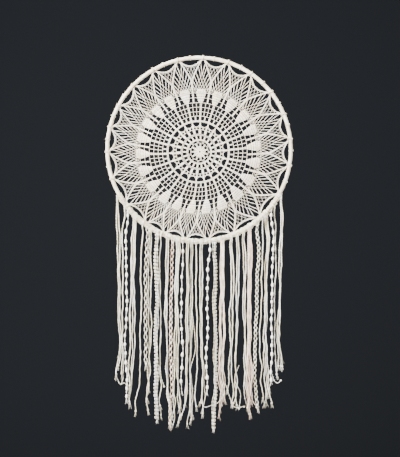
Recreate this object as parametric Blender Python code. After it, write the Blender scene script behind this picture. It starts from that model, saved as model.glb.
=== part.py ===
"""A hanging dreamcatcher: crocheted lace laced into a cord-wrapped hoop, over a long fringe.

Units are metres and +Z is up. The front faces -Y and the wall is on the +Y side. The origin is
the hang point, on the outside of the hoop at its top. Angles round the hoop are in degrees,
clockwise from the top as seen from the front.
"""

import math
import random
from collections import namedtuple

import bmesh
import bpy
from mathutils import Vector

# ---- Hoop ---------------------------------------------------------------------------------
HOOP_RADIUS = 0.200           # to the outside of the wrapped ring
WRAP_RADIUS = 0.00425         # of the ring's own section, to its corners
RING_SIDES = 8                # sides of that section, one of them facing the hoop's centre
FLAT = math.cos(math.pi / RING_SIDES)     # a side's distance over a corner's
RING_LINE = HOOP_RADIUS - WRAP_RADIUS * FLAT   # radius of the ring's centre line
RING_STEPS = 88
RING_SWELL = 0.00022          # how much the wrap's thickness wanders above the fringe
HOOP_CENTRE = Vector((0.0, 0.0, -HOOP_RADIUS))

# ---- Lace and its ties ----------------------------------------------------------------------
CLEARANCE = 0.0003
TIE_WIDTH = 0.0028            # of each lashing, along the ring
TIE_THICKNESS = 0.0010
TIE_ANGLES = (2.5, 18.5, 34.5, 51.5, 67.5, 83.5, 100.0, 118.5, 138.5, 158.5, 174.5,
              189.0, 202.5, 216.0, 233.5, 251.5, 268.5, 284.0, 298.5, 314.0, 330.0, 346.5)
SECTORS = len(TIE_ANGLES)
SECTOR_ANGLE = 360.0 / SECTORS
TIE_INNER = WRAP_RADIUS + CLEARANCE / FLAT        # section corners, inside and outside
TIE_OUTER = TIE_INNER + TIE_THICKNESS
LACE_RADIUS = RING_LINE - TIE_OUTER * FLAT - CLEARANCE     # to the points held by the ties
LACE_MID_RADIUS = 0.1812      # to the scalloped edge, midway between two ties
LACE_POINT_HALF = 0.8         # half of each point's width, in degrees
LACE_THICKNESS = 0.0020
LACE_SIDE = -0.0019           # the lace's middle lies this far to the left of the hoop's ...
LACE_DROP = 0.005             # ... and hangs this far below it
EVEN_RADIUS = 0.058           # within this radius the lace keeps its even shape ...
PULLED_RADIUS = 0.162         # ... and beyond this one it follows the ties
LACE_TURN = 0.85              # the even part has turned by this much, in degrees ...
LACE_SKEW = 0.9               # ... and is skewed by up to this much, most at the angle below
SKEW_ANGLE = 110.0
EDGE_STEPS = 4                # points along half a scallop

# ---- Fringe ---------------------------------------------------------------------------------
FRINGE_START = 118.5          # the knots fill the ring from this angle ...
FRINGE_END = 241.5            # ... to this one
KNOT_GAP = 0.0005
KNOT_INNER = TIE_INNER
KNOT_OUTER = 0.0060           # section corners of a one-strand knot
KNOT_GROWTH = 0.0004          # more for each further strand
KNOT_SHIFT = 0.0009           # a knot is this much thicker outwards than inwards
KNOT_STEP = 5.0               # degrees of ring for each step of a knot
ROOT_DEPTH = 0.0052           # where a strand starts, out from the ring's centre line
ROOT_BEND = 0.0105            # where it starts to turn down
ROOT_WIDTH = 0.0025           # strands are pulled this narrow inside the knot
ROOT_PITCH = 0.0032
FALL_START = 0.016            # a strand hangs straight down from this far below its root
FRONT_LAYER = -0.0040         # neighbouring bundles hang one in front of the other
BACK_LAYER = 0.0020
WAVE_HEIGHT = 0.0012
WAVE_LENGTH = 0.17
WAVY_SWING = 0.0017
WAVY_TURN = 0.72              # half turns of a wavy strand from one section to the next
UNEVEN_FEET = 0.014           # how much shorter one strand of a bundle may be than another

# One row for each bundle, left to right: its form, how many strands, their width, the space
# from one to the next, and the length of one bead, picot or stretch of cord. Then the line it
# hangs on, given at its top, a third and three quarters of the way down, and at its foot.
Bundle = namedtuple(
    "Bundle", "name form strands width pitch repeat top_x mid_x low_x foot_x foot_z")
BUNDLES = (
    Bundle("cords_left_edge", "cord", 2, .0034, .0044, .058, -.1755, -.1720, -.1695, -.1740, -.692),
    Bundle("cord_left_edge", "cord", 1, .0034, 0.0, .058, -.1635, -.1630, -.1630, -.1645, -.703),
    Bundle("beads_left_edge", "bead", 1, .0050, 0.0, .0186, -.1575, -.1550, -.1575, -.1545, -.735),
    Bundle("cords_left_outer", "cord", 3, .0038, .0050, .058, -.1410, -.1410, -.1425, -.1435, -.750),
    Bundle("cord_left_wavy", "wavy", 1, .0046, 0.0, .046, -.1225, -.1245, -.1255, -.1320, -.771),
    Bundle("chain_left", "chain", 1, .0074, 0.0, .0186, -.1130, -.1130, -.1150, -.1120, -.660),
    Bundle("cords_left_lace", "cord", 2, .0040, .0046, .058, -.1053, -.1040, -.1045, -.1060, -.767),
    Bundle("lace_left", "picot", 1, .0100, 0.0, .026, -.0932, -.0915, -.0930, -.0900, -.778),
    Bundle("cord_left_lace", "wavy", 1, .0040, 0.0, .046, -.0846, -.0830, -.0820, -.0795, -.770),
    Bundle("cords_left_middle", "wavy", 2, .0030, .0046, .046, -.0692, -.0700, -.0680, -.0650, -.795),
    Bundle("picot_left", "picot", 1, .0090, 0.0, .026, -.0579, -.0605, -.0598, -.0605, -.790),
    Bundle("cords_left_inner", "cord", 3, .0030, .0039, .058, -.0460, -.0480, -.0480, -.0490, -.799),
    Bundle("beads_left_inner", "bead", 1, .0054, 0.0, .028, -.0353, -.0378, -.0366, -.0376, -.718),
    Bundle("cords_middle_thin", "cord", 2, .0026, .0040, .058, -.0248, -.0259, -.0262, -.0295, -.798),
    Bundle("cords_middle_wavy", "wavy", 2, .0036, .0044, .046, -.0162, -.0170, -.0180, -.0195, -.799),
    Bundle("cord_middle_single", "wavy", 1, .0034, 0.0, .046, -.0068, -.0052, -.0040, -.0010, -.784),
    Bundle("cords_middle_right", "cord", 2, .0036, .0046, .058, .0050, .0045, .0075, .0070, -.790),
    Bundle("beads_right_inner", "bead", 1, .0054, 0.0, .021, .0198, .0178, .0165, .0165, -.718),
    Bundle("picot_right", "picot", 1, .0100, 0.0, .026, .0344, .0352, .0360, .0308, -.798),
    Bundle("ribbons_right", "ribbon", 2, .0060, .0070, .044, .0488, .0474, .0468, .0486, -.799),
    Bundle("cords_right_inner", "cord", 2, .0034, .0048, .058, .0720, .0700, .0670, .0655, -.774),
    Bundle("cords_right_wavy", "wavy", 2, .0036, .0056, .046, .0838, .0820, .0800, .0780, -.765),
    Bundle("cords_right_middle", "cord", 2, .0036, .0044, .058, .0977, .0974, .0980, .0998, -.771),
    Bundle("ribbon_right_wide", "ribbon", 2, .0050, .0058, .044, .1107, .1068, .1074, .1080, -.768),
    Bundle("chain_right", "chain", 1, .0074, 0.0, .0186, .1280, .1240, .1184, .1245, -.752),
    Bundle("cord_right_outer", "cord", 1, .0032, 0.0, .058, .1378, .1330, .1292, .1320, -.735),
    Bundle("cords_right_outer", "wavy", 3, .0034, .0042, .046, .1472, .1450, .1415, .1460, -.750),
    Bundle("beads_right_edge", "bead", 1, .0050, 0.0, .0186, .1588, .1562, .1542, .1547, -.697),
    Bundle("cord_right_edge", "cord", 1, .0034, 0.0, .058, .1658, .1625, .1612, .1640, -.700),
    Bundle("cords_right_edge", "cord", 2, .0034, .0044, .058, .1780, .1735, .1690, .1730, -.688),
)
LINE_TURNS = (0.0, 0.35, 0.75, 1.0)     # how far down each of a row's four places lies

# How each form of strand changes along its length: the sections in one repeat, the narrowest
# width over the widest, and the thickness.
Form = namedtuple("Form", "sections narrow thickness flat colour")
FORMS = {
    "cord": Form(1, 1.0, 0.0024, False, "cotton"),
    "wavy": Form(1, 1.0, 0.0024, False, "cotton"),
    "ribbon": Form(1, 0.85, 0.0014, True, "ribbon"),
    "picot": Form(2, 0.65, 0.0014, True, "ribbon"),
    "chain": Form(2, 0.45, 0.0024, False, "cotton"),
    "bead": Form(2, 0.34, 0.0026, False, "bead"),
}

YARN_COLOURS = {
    "wrap": (0.80, 0.76, 0.62),
    "lace": (0.84, 0.79, 0.70),
    "cotton": (0.83, 0.78, 0.68),
    "ribbon": (0.78, 0.68, 0.61),
    "bead": (0.90, 0.87, 0.82),
}


def make_material(name):
    """A matt yarn material in one of the yarn colours."""
    material = bpy.data.materials.new(name)
    material.use_nodes = True
    shader = material.node_tree.nodes["Principled BSDF"]
    shader.inputs["Base Color"].default_value = (*YARN_COLOURS[name], 1.0)
    shader.inputs["Roughness"].default_value = 0.85
    shader.inputs["Metallic"].default_value = 0.0
    return material


def add_object(name, bm, material):
    """Turn a bmesh into a named object with outward faces."""
    bmesh.ops.recalc_face_normals(bm, faces=bm.faces)
    mesh = bpy.data.meshes.new(name)
    bm.to_mesh(mesh)
    bm.free()
    mesh.materials.append(material)
    obj = bpy.data.objects.new(name, mesh)
    bpy.context.collection.objects.link(obj)
    return obj


def outward(angle):
    """Unit vector from the hoop's centre at an angle round the hoop."""
    turn = math.radians(angle)
    return Vector((math.sin(turn), 0.0, math.cos(turn)))


def ring_section(angle, corner_radius, shift=0.0):
    """Corners of a section across the ring, with sides facing in and out."""
    out = outward(angle)
    centre = HOOP_CENTRE + out * (RING_LINE + shift)
    corners = []
    for side in range(RING_SIDES):
        turn = (side + 0.5) * 2.0 * math.pi / RING_SIDES
        corners.append(centre + out * (corner_radius * math.cos(turn))
                       + Vector((0.0, corner_radius * math.sin(turn), 0.0)))
    return corners


def bridge(bm, ring_a, ring_b):
    """Join two rings of vertices with a band of quads."""
    count = len(ring_a)
    for index in range(count):
        after = (index + 1) % count
        bm.faces.new((ring_a[index], ring_a[after], ring_b[after], ring_b[index]))


def loft(bm, sections, closed=False):
    """Skin a row of sections; an open row gets an end face at each end."""
    rings = [[bm.verts.new(corner) for corner in section] for section in sections]
    for ring_a, ring_b in zip(rings, rings[1:]):
        bridge(bm, ring_a, ring_b)
    if closed:
        bridge(bm, rings[-1], rings[0])
    else:
        bm.faces.new(rings[0])
        bm.faces.new(rings[-1])


def sleeve(bm, angles, inner_radius, outer_radius, shift=0.0):
    """A wall round the ring between two section radii, open along the ring."""
    inner = [[bm.verts.new(c) for c in ring_section(a, inner_radius)] for a in angles]
    outer = [[bm.verts.new(c) for c in ring_section(a, outer_radius, shift)] for a in angles]
    for wall in (inner, outer):
        for ring_a, ring_b in zip(wall, wall[1:]):
            bridge(bm, ring_a, ring_b)
    bridge(bm, inner[0], outer[0])
    bridge(bm, inner[-1], outer[-1])


def smooth_step(value):
    """Ease from 0 to 1 without corners."""
    value = min(max(value, 0.0), 1.0)
    return value * value * (3.0 - 2.0 * value)


# ---- Hoop and ties --------------------------------------------------------------------------
def make_hoop(material):
    """The wrapped ring, a little uneven where no knot sits on it."""
    sections = []
    for step in range(RING_STEPS):
        angle = 360.0 * step / RING_STEPS
        swell = RING_SWELL * math.sin(math.radians(angle * 5.0)) * math.cos(math.radians(angle * 7.0))
        if FRINGE_START - 6.0 < angle < FRINGE_END + 6.0:
            swell = 0.0
        sections.append(ring_section(angle, WRAP_RADIUS - abs(swell)))
    bm = bmesh.new()
    loft(bm, sections, closed=True)
    add_object("hoop", bm, material)


def make_ties(material):
    """A short lashing round the ring at each point of the lace."""
    half = math.degrees(TIE_WIDTH / RING_LINE) / 2.0
    for number, angle in enumerate(TIE_ANGLES, start=1):
        bm = bmesh.new()
        sleeve(bm, (angle - half, angle + half), TIE_INNER, TIE_OUTER)
        add_object(f"tie_{number:02d}", bm, material)


# ---- Lace -----------------------------------------------------------------------------------
def lace_point(turn, radius):
    """Place on the lace: turn counts sectors clockwise from the first tie.

    The middle of the lace is even. Towards the rim it follows the uneven ties, and its centre
    moves from a little low to the hoop's own.
    """
    sector = math.floor(turn)
    start = TIE_ANGLES[sector % SECTORS]
    end = TIE_ANGLES[(sector + 1) % SECTORS]
    width = (end - start) % 360.0
    uneven = start + 360.0 * (sector // SECTORS) + width * (turn - sector)
    even = TIE_ANGLES[0] + turn * SECTOR_ANGLE
    turned = LACE_TURN + LACE_SKEW * math.cos(math.radians(2.0 * (even - SKEW_ANGLE)))
    pull = smooth_step((radius - EVEN_RADIUS) / (PULLED_RADIUS - EVEN_RADIUS))
    angle = even + turned * (1.0 - pull) + (uneven - even) * pull
    stay = 1.0 - min(radius / LACE_RADIUS, 1.0) ** 5
    return HOOP_CENTRE + outward(angle) * radius + Vector((LACE_SIDE, 0.0, -LACE_DROP)) * stay


def scallop_edge():
    """One sector of the lace's edge, as (degrees from the tie, radius), without its last tie."""
    half_sector = SECTOR_ANGLE / 2.0
    edge = [(LACE_POINT_HALF, LACE_RADIUS)]
    for step in range(1, EDGE_STEPS + 1):
        along = step / EDGE_STEPS
        degrees = LACE_POINT_HALF + (half_sector - LACE_POINT_HALF) * along
        edge.append((degrees, LACE_MID_RADIUS + (LACE_RADIUS - LACE_MID_RADIUS) * (1.0 - along) ** 2))
    mirrored = [(SECTOR_ANGLE - degrees, radius) for degrees, radius in reversed(edge[:-1])]
    return edge + mirrored


def mirrored_hole(hole):
    """The same hole on the other side of the sector's middle."""
    return [(-degrees, radius) for degrees, radius in reversed(hole)]


def slot_hole(degrees, radius, half_length, half_width, lean):
    """A slanted slot: lean is how far its outer end moves, in degrees."""
    side = math.degrees(half_width / radius)
    low, high = radius - half_length, radius + half_length
    return [(degrees - side - lean, low), (degrees + side - lean, low + half_width),
            (degrees + side + lean, high), (degrees - side + lean, high - half_width)]


def cell_hole(degrees, radius, half_width, half_height):
    """A cell of the filet rows, a little narrower towards the centre."""
    low_side = math.degrees(half_width * 0.85 / radius)
    high_side = math.degrees(half_width / radius)
    low, high = radius - half_height, radius + half_height
    return [(degrees - low_side, low), (degrees + low_side, low),
            (degrees + high_side, high), (degrees - high_side, high)]


def sector_holes():
    """The holes of one sector, as (degrees from the sector's middle, radius) corners."""
    lens = [(-4.5, 0.0596), (-1.3, 0.0562), (4.6, 0.0562), (7.8, 0.0596), (5.6, 0.0626), (-2.3, 0.0626)]
    holes = [lens]
    for degrees in (-2.9, 4.2):
        holes.append(cell_hole(degrees, 0.0709, 0.0021, 0.0034))
    for degrees, half_width in ((-4.3, 0.0025), (0.8, 0.0024), (5.6, 0.0022)):
        holes.append(cell_hole(degrees, 0.0904, half_width, 0.0130))
    spandrel = [(1.3, 0.1068), (4.6, 0.1074), (2.7, 0.1150), (1.3, 0.1235)]
    long_slot = slot_hole(4.25, 0.1534, 0.0060, 0.0020, -0.72)
    outer_slot = slot_hole(5.70, 0.1611, 0.0060, 0.0020, -0.76)
    for hole in (spandrel, long_slot, outer_slot):
        holes.append(hole)
        holes.append(mirrored_hole(hole))
    middle = SECTOR_ANGLE / 2.0
    holes.append([(middle - 1.05, 0.1825), (middle, 0.1708), (middle + 1.05, 0.1825), (middle, 0.1870)])
    return holes


def make_lace(material):
    """The crocheted lace, one thin sheet with its larger gaps cut through."""
    bm = bmesh.new()

    def add_outline(points):
        verts = [bm.verts.new(point) for point in points]
        for index, vert in enumerate(verts):
            bm.edges.new((vert, verts[(index + 1) % len(verts)]))

    add_outline([lace_point(sector + degrees / SECTOR_ANGLE, radius)
                 for sector in range(SECTORS) for degrees, radius in scallop_edge()])
    for sector in range(SECTORS):
        for hole in sector_holes():
            add_outline([lace_point(sector + 0.5 + degrees / SECTOR_ANGLE, radius)
                         for degrees, radius in hole])
    bmesh.ops.triangle_fill(bm, edges=bm.edges, use_beauty=True, normal=Vector((0.0, -1.0, 0.0)))
    front = bmesh.ops.extrude_face_region(bm, geom=bm.faces[:], use_keep_orig=True)
    moved = [item for item in front["geom"] if isinstance(item, bmesh.types.BMVert)]
    bmesh.ops.translate(bm, verts=moved, vec=Vector((0.0, -LACE_THICKNESS, 0.0)))
    bmesh.ops.translate(bm, verts=bm.verts, vec=Vector((0.0, LACE_THICKNESS / 2.0, 0.0)))
    add_object("lace", bm, material)


# ---- Fringe ---------------------------------------------------------------------------------
def root_angle(bundle):
    """Where round the ring a bundle would hang straight from."""
    return 180.0 - math.degrees(math.asin(bundle.top_x / (RING_LINE + ROOT_BEND)))


def knot_spans():
    """Start and end angle of every knot: they share the ring between each two ties."""
    tie_room = math.degrees((TIE_WIDTH / 2.0 + CLEARANCE) / RING_LINE)
    half_gap = math.degrees(KNOT_GAP / 2.0 / RING_LINE)
    stops = [FRINGE_START] + [a for a in TIE_ANGLES if FRINGE_START < a < FRINGE_END] + [FRINGE_END]
    spans = {}
    for start, end in zip(stops, stops[1:]):
        group = sorted((b for b in BUNDLES if start <= root_angle(b) < end), key=root_angle)
        edges = [start + tie_room]
        edges += [(root_angle(a) + root_angle(b)) / 2.0 for a, b in zip(group, group[1:])]
        edges.append(end - tie_room)
        for bundle, low, high in zip(group, edges, edges[1:]):
            spans[bundle.name] = (low + half_gap, high - half_gap)
    return spans


def line_x(bundle, share):
    """Where the bundle's line is across, at a share of the way down."""
    places = (bundle.top_x, bundle.mid_x, bundle.low_x, bundle.foot_x)
    for index in range(len(places) - 1):
        low, high = LINE_TURNS[index], LINE_TURNS[index + 1]
        if share <= high:
            return places[index] + (places[index + 1] - places[index]) * smooth_step(
                (share - low) / (high - low))
    return places[-1]


def strand_stations(bundle, span, order, layer, chance):
    """Centre, direction and width of a strand's sections, from inside its knot to its foot."""
    form = FORMS[bundle.form]
    place = order - (bundle.strands - 1) / 2.0
    knot_length = math.radians(span[1] - span[0]) * RING_LINE
    root_pitch = min(ROOT_PITCH, knot_length / bundle.strands)
    angle = (span[0] + span[1]) / 2.0 - math.degrees(place * root_pitch / RING_LINE)
    out = outward(angle)
    root = HOOP_CENTRE + out * (RING_LINE + ROOT_DEPTH)
    bend = HOOP_CENTRE + out * (RING_LINE + ROOT_BEND)
    stations = [(root, out, ROOT_WIDTH), (bend, out, ROOT_WIDTH)]

    top_z = root.z - FALL_START
    shorter = chance.uniform(0.0, UNEVEN_FEET) if bundle.strands > 1 else 0.0
    length = top_z - bundle.foot_z - shorter
    steps = round(length / bundle.repeat) * form.sections
    for step in range(steps + 1):
        share = step / steps
        z = top_z - length * share
        x = line_x(bundle, share) + place * bundle.pitch
        x += WAVE_HEIGHT * math.sin((z / WAVE_LENGTH + bundle.top_x * 30.0) * 2.0 * math.pi)
        width = bundle.width
        if bundle.form == "wavy":
            x += WAVY_SWING * math.sin(step * math.pi * WAVY_TURN)
        elif step % 2 == 0:
            width = bundle.width * form.narrow
        stations.append((Vector((x, layer, z)), Vector((0.0, 0.0, -1.0)), width))
    return stations


def strand_sections(bundle, stations):
    """Four corners round each station: a flat oblong on ribbons, a lozenge on the rest."""
    form = FORMS[bundle.form]
    sections = []
    for index, (centre, direction, width) in enumerate(stations):
        if 2 < index < len(stations) - 1:
            direction = (stations[index + 1][0] - stations[index - 1][0]).normalized()
        across = Vector((-direction.z, 0.0, direction.x)).normalized() * (width / 2.0)
        deep = Vector((0.0, form.thickness / 2.0, 0.0))
        if form.flat:
            corners = (across + deep, across - deep, -across - deep, -across + deep)
        else:
            corners = (across, -deep, -across, deep)
        sections.append([centre + corner for corner in corners])
    return sections


def make_bundle(index, bundle, span, material):
    """A knot round the ring with its strands fused into it."""
    chance = random.Random(bundle.name)
    steps = max(1, math.ceil((span[1] - span[0]) / KNOT_STEP))
    angles = [span[0] + (span[1] - span[0]) * step / steps for step in range(steps + 1)]
    bm = bmesh.new()
    sleeve(bm, angles, KNOT_INNER, KNOT_OUTER + KNOT_GROWTH * bundle.strands, KNOT_SHIFT)
    knot = add_object(bundle.name, bm, material)

    layer = FRONT_LAYER if index % 2 else BACK_LAYER
    bm = bmesh.new()
    for order in range(bundle.strands):
        stations = strand_stations(bundle, span, order, layer, chance)
        loft(bm, strand_sections(bundle, stations))
    strands = add_object(f"{bundle.name}_strands", bm, material)
    strands.hide_render = True
    strands.display_type = "WIRE"
    join = knot.modifiers.new("strands", "BOOLEAN")
    join.operation = "UNION"
    join.solver = "EXACT"
    join.use_self = True
    join.object = strands


def main():
    for obj in list(bpy.data.objects):
        bpy.data.objects.remove(obj)
    materials = {name: make_material(name) for name in YARN_COLOURS}
    make_hoop(materials["wrap"])
    make_lace(materials["lace"])
    make_ties(materials["wrap"])
    spans = knot_spans()
    for index, bundle in enumerate(BUNDLES):
        make_bundle(index, bundle, spans[bundle.name], materials[FORMS[bundle.form].colour])


main()
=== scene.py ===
"""Looks of the hanging dreamcatcher: crocheted lace, wrapped hoop, lashings, knots and fringe.

Units are metres and +Z is up. The front faces -Y. The origin is the hang point, on the outside
of the hoop at its top. Angles round the hoop are in degrees, clockwise from the top as seen from
the front.
"""

import math
import random
from collections import namedtuple

import bpy
import numpy as np
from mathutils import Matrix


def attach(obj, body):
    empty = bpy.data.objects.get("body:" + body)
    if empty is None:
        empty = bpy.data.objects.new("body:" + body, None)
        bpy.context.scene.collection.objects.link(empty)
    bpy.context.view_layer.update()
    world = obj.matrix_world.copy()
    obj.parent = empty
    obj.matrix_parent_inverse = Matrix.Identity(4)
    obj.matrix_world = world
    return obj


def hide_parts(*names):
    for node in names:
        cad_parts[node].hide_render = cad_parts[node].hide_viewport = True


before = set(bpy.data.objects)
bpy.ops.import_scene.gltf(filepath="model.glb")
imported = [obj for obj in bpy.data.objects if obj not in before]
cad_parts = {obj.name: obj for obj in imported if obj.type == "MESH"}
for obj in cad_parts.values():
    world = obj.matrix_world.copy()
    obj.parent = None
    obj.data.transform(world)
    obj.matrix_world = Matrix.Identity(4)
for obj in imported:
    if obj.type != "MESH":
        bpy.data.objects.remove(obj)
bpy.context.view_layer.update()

# ---- Sizes repeated from the part -----------------------------------------------------------
HOOP_RADIUS = 0.200
WRAP_RADIUS = 0.00425
RING_SIDES = 8                # sides of the solid ring's section
RING_LINE = HOOP_RADIUS - WRAP_RADIUS * math.cos(math.pi / RING_SIDES)   # the hoop's centre line
HOOP_CENTRE = np.array((0.0, 0.0, -HOOP_RADIUS))
TIE_ANGLES = (2.5, 18.5, 34.5, 51.5, 67.5, 83.5, 100.0, 118.5, 138.5, 158.5, 174.5,
              189.0, 202.5, 216.0, 233.5, 251.5, 268.5, 284.0, 298.5, 314.0, 330.0, 346.5)
SECTORS = len(TIE_ANGLES)
SECTOR_ANGLE = 360.0 / SECTORS
LACE_RADIUS = 0.1906
FRINGE_START, FRINGE_END = 118.5, 241.5
TIE_ROOM = 0.5                # degrees of ring kept for half a lashing
ROOT_BEND = 0.0105            # a strand falls free this far outside the hoop's centre line
EDGE_ROOT = 0.7               # degrees from the outermost strands to their knots' outer end
FRONT_LAYER, BACK_LAYER = -0.0040, 0.0020   # the bundles hang in these two layers by turns

# The bundles from left to right: form, strands and how far apart they hang, then where the bundle
# is across at its top, at two places further down and at its foot, and how low its foot is.
Bundle = namedtuple("Bundle", "name form strands pitch top_x mid_x low_x foot_x foot_z")
BUNDLES = tuple(Bundle(*row) for row in (
    ("cords_left_edge", "cord", 2, .0044, -.1738, -.1722, -.1700, -.1740, -.692),
    ("cord_left_edge", "cord", 1, 0.0, -.1635, -.1630, -.1630, -.1645, -.703),
    ("beads_left_edge", "bead", 1, 0.0, -.1575, -.1550, -.1575, -.1545, -.735),
    ("cords_left_outer", "cord", 3, .0050, -.1410, -.1410, -.1425, -.1435, -.750),
    ("cord_left_wavy", "wavy", 1, 0.0, -.1225, -.1245, -.1255, -.1320, -.771),
    ("chain_left", "chain", 1, 0.0, -.1130, -.1130, -.1150, -.1120, -.660),
    ("cords_left_lace", "cord", 2, .0046, -.1066, -.1056, -.1058, -.1060, -.767),
    ("lace_left", "band", 1, 0.0, -.0920, -.0905, -.0925, -.0900, -.778),
    ("cord_left_lace", "wavy", 1, 0.0, -.0846, -.0830, -.0820, -.0795, -.770),
    ("cords_left_middle", "wavy", 2, .0046, -.0692, -.0700, -.0680, -.0650, -.795),
    ("picot_left", "pink chain", 1, 0.0, -.0579, -.0605, -.0598, -.0605, -.790),
    ("cords_left_inner", "cord", 3, .0039, -.0460, -.0480, -.0480, -.0490, -.799),
    ("beads_left_inner", "bead", 1, 0.0, -.0353, -.0378, -.0366, -.0376, -.718),
    ("cords_middle_thin", "cord", 2, .0040, -.0248, -.0259, -.0262, -.0295, -.798),
    ("cords_middle_wavy", "wavy", 2, .0044, -.0162, -.0170, -.0180, -.0195, -.799),
    ("cord_middle_single", "wavy", 1, 0.0, -.0068, -.0052, -.0040, -.0010, -.784),
    ("cords_middle_right", "cord", 2, .0046, .0050, .0045, .0075, .0070, -.790),
    ("beads_right_inner", "bead", 1, 0.0, .0198, .0178, .0165, .0165, -.718),
    ("picot_right", "band", 1, 0.0, .0334, .0342, .0350, .0308, -.798),
    ("ribbons_right", "ribbon", 2, .0070, .0505, .0494, .0488, .0486, -.799),
    ("cords_right_inner", "cord", 2, .0048, .0720, .0700, .0670, .0655, -.774),
    ("cords_right_wavy", "wavy", 2, .0056, .0838, .0820, .0800, .0780, -.765),
    ("cords_right_middle", "cord", 2, .0044, .0977, .0974, .0980, .0998, -.771),
    ("ribbon_right_wide", "ribbon", 2, .0058, .1107, .1068, .1074, .1080, -.768),
    ("chain_right", "chain", 1, 0.0, .1280, .1240, .1184, .1245, -.752),
    ("cord_right_outer", "cord", 1, 0.0, .1378, .1330, .1292, .1320, -.735),
    ("cords_right_outer", "wavy", 3, .0042, .1472, .1450, .1415, .1460, -.750),
    ("beads_right_edge", "bead", 1, 0.0, .1588, .1562, .1542, .1547, -.697),
    ("cord_right_edge", "cord", 1, 0.0, .1658, .1625, .1612, .1640, -.700),
    ("cords_right_edge", "cord", 2, .0044, .1765, .1735, .1695, .1730, -.688),
))
LINE_TURNS = (0.0, 0.35, 0.75, 1.0)    # shares of the way down of a bundle's four places across
SLOTS = {"cord": "cotton", "wavy": "cotton", "chain": "cotton", "band": "cotton",
         "ribbon": "ribbon", "pink chain": "ribbon", "bead": "bead"}


# ---- Cotton materials -----------------------------------------------------------------------
MIX_SHARE, MIX_FIRST, MIX_SECOND, MIXED = 0, 6, 7, 2     # a Mix node's sockets for colours


def add_node(tree, kind, place, joined=None, **values):
    """A shader node with its settings, the values of its free sockets and what is joined to it."""
    node = tree.nodes.new(kind)
    node.location = place
    for key, value in values.items():
        if hasattr(node, key):
            setattr(node, key, value)
        else:
            node.inputs[key.replace("_", " ")].default_value = value
    for key, socket in (joined or {}).items():
        tree.links.new(socket, node.inputs[key])
    return node


def mix_colours(tree, place, share, first, second):
    """From the first colour to the second, by a share that changes over the surface."""
    joined = {MIX_SHARE: share, MIX_FIRST: first, MIX_SECOND: second}
    return add_node(tree, "ShaderNodeMix", place, joined, data_type="RGBA").outputs[MIXED]


def make_yarn_group():
    """Cotton yarn: mottled colour, painted shade between the fibres, and the relief of its twist.
    """
    group = bpy.data.node_groups.new("cotton_yarn", "ShaderNodeTree")
    for way, kind, names in (
            ("INPUT", "Color", ("Light yarn", "Dark yarn", "Warm yarn", "Cool yarn")),
            ("INPUT", "Vector", ("Tint spread",)),
            ("INPUT", "Float", ("Mottle size", "Fibre size", "Ply", "Relief")),
            ("OUTPUT", "Color", ("Colour",)),
            ("OUTPUT", "Float", ("Roughness",)),
            ("OUTPUT", "Vector", ("Normal",))):
        for name in names:
            group.interface.new_socket(name, in_out=way, socket_type="NodeSocket" + kind)
    enter = add_node(group, "NodeGroupInput", (-900, 0)).outputs
    spot = add_node(group, "ShaderNodeTexCoord", (-900, -300)).outputs["Object"]

    def noise(place, vector, joined, **values):
        node = add_node(group, "ShaderNodeTexNoise", place, {"Vector": vector, **joined}, **values)
        return node.outputs["Fac"]

    mottle = noise((-600, 300), spot, {"Scale": enter["Mottle size"]}, Detail=3.0, Roughness=0.6)
    fibre = noise((-600, 0), spot, {"Scale": enter["Fibre size"]}, Detail=4.0, Roughness=0.7)
    ply = add_node(group, "ShaderNodeTexWave", (-600, -300),
                   {"Vector": spot, "Scale": enter["Ply"]},
                   bands_direction="DIAGONAL", Distortion=3.0, Detail=2.0)
    spread_out = add_node(group, "ShaderNodeVectorMath", (-600, 600),
                          {0: spot, 1: enter["Tint spread"]}, operation="MULTIPLY")
    tint = noise((-400, 600), spread_out.outputs["Vector"], {}, Scale=1.0, Detail=1.0)
    yarn = enter["Light yarn"]
    for other, low, high in (("Warm yarn", 0.46, 0.36), ("Cool yarn", 0.53, 0.62)):
        share = add_node(group, "ShaderNodeMapRange", (-200, 600), {"Value": tint},
                         interpolation_type="SMOOTHSTEP", From_Min=low, From_Max=high)
        yarn = mix_colours(group, (0, 600), share.outputs["Result"], yarn, enter[other])
    # The dark colour comes in by random mottle and by the fibre noise, which also sinks the bump:
    # painted shade between the fibres.
    shade = add_node(group, "ShaderNodeMath", (-350, 150), {0: fibre, 2: mottle},
                     operation="MULTIPLY_ADD")
    shade.inputs[1].default_value = 0.35
    lit = add_node(group, "ShaderNodeMapRange", (-150, 150), {"Value": shade.outputs[0]},
                   interpolation_type="SMOOTHSTEP", From_Min=0.40, From_Max=0.92)
    colour = mix_colours(group, (100, 200), lit.outputs["Result"], enter["Dark yarn"], yarn)
    rough = add_node(group, "ShaderNodeMapRange", (100, 0), {"Value": fibre},
                     To_Min=0.95, To_Max=0.74)
    height = add_node(group, "ShaderNodeMath", (-350, -150), {0: fibre, 1: ply.outputs["Fac"]},
                      operation="ADD")
    bump = add_node(group, "ShaderNodeBump", (300, -150),
                    {"Height": height.outputs[0], "Strength": enter["Relief"]}, Distance=0.0004)
    add_node(group, "NodeGroupOutput", (700, 0), {
        "Colour": colour, "Roughness": rough.outputs["Result"], "Normal": bump.outputs["Normal"]})


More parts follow.
